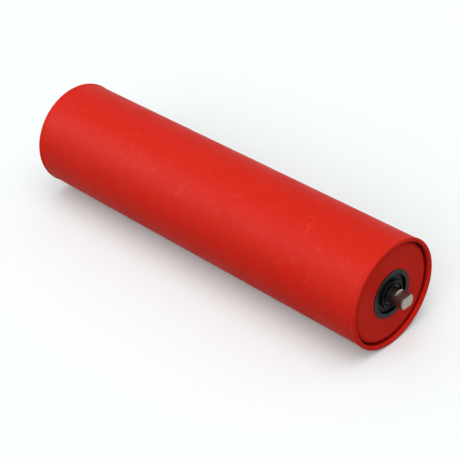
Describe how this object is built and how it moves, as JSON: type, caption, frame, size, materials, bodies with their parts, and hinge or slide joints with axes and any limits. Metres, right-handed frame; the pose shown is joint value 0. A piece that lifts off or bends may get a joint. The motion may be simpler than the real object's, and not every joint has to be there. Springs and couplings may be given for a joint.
{
  "type": "conveyor roller",
  "caption": "Steel belt-conveyor roller: a painted tube turning on sealed ball bearings round a fixed shaft with flats milled on both ends.",
  "frame": {"origin": "middle of the roller, on its axis", "axes": "+Y along the shaft towards the rear end, +Z square to the shaft's flats, +X across"},
  "size_m": [0.1345, 0.568, 0.1346],
  "materials": {
    "red_paint": "satin powder coat",
    "shaft_steel": "cold-drawn bar with milled flats",
    "bearing_steel": "ground and polished",
    "black_nylon": "moulded, satin",
    "cage_nylon": "moulded, natural",
    "spring_steel": "blackened spring steel"
  },
  "bodies": {
    "shaft": {"shaft": "shaft_steel", "front_inner_race": "bearing_steel", "rear_inner_race": "bearing_steel", "front_labyrinth_inner": "black_nylon", "rear_labyrinth_inner": "black_nylon", "front_dust_cover": "black_nylon", "rear_dust_cover": "black_nylon", "circlips": "spring_steel"},
    "shell": {"tube": "red_paint", "front_bearing_housing": "red_paint", "rear_bearing_housing": "red_paint", "front_outer_race": "bearing_steel", "rear_outer_race": "bearing_steel", "front_labyrinth_outer": "black_nylon", "rear_labyrinth_outer": "black_nylon", "front_back_seal": "black_nylon", "rear_back_seal": "black_nylon"},
    "front_ball_train": {"front_cage": "cage_nylon", "front_balls": "bearing_steel"},
    "rear_ball_train": {"rear_cage": "cage_nylon", "rear_balls": "bearing_steel"}
  },
  "joints": [
    {"name": "shell_spin", "type": "hinge", "parent": "shaft", "child": "shell", "pos_m": [0, 0, 0], "axis": [0, 1, 0], "continuous": true},
    {"name": "front_train_spin", "type": "hinge", "parent": "shaft", "child": "front_ball_train", "pos_m": [0, 0, 0], "axis": [0, 1, 0], "continuous": true},
    {"name": "rear_train_spin", "type": "hinge", "parent": "shaft", "child": "rear_ball_train", "pos_m": [0, 0, 0], "axis": [0, 1, 0], "continuous": true}
  ],
  "couplings": [
    {"joint": "front_train_spin", "follows": "shell_spin", "ratio": 0.6179},
    {"joint": "rear_train_spin", "follows": "shell_spin", "ratio": 0.6179}
  ]
}
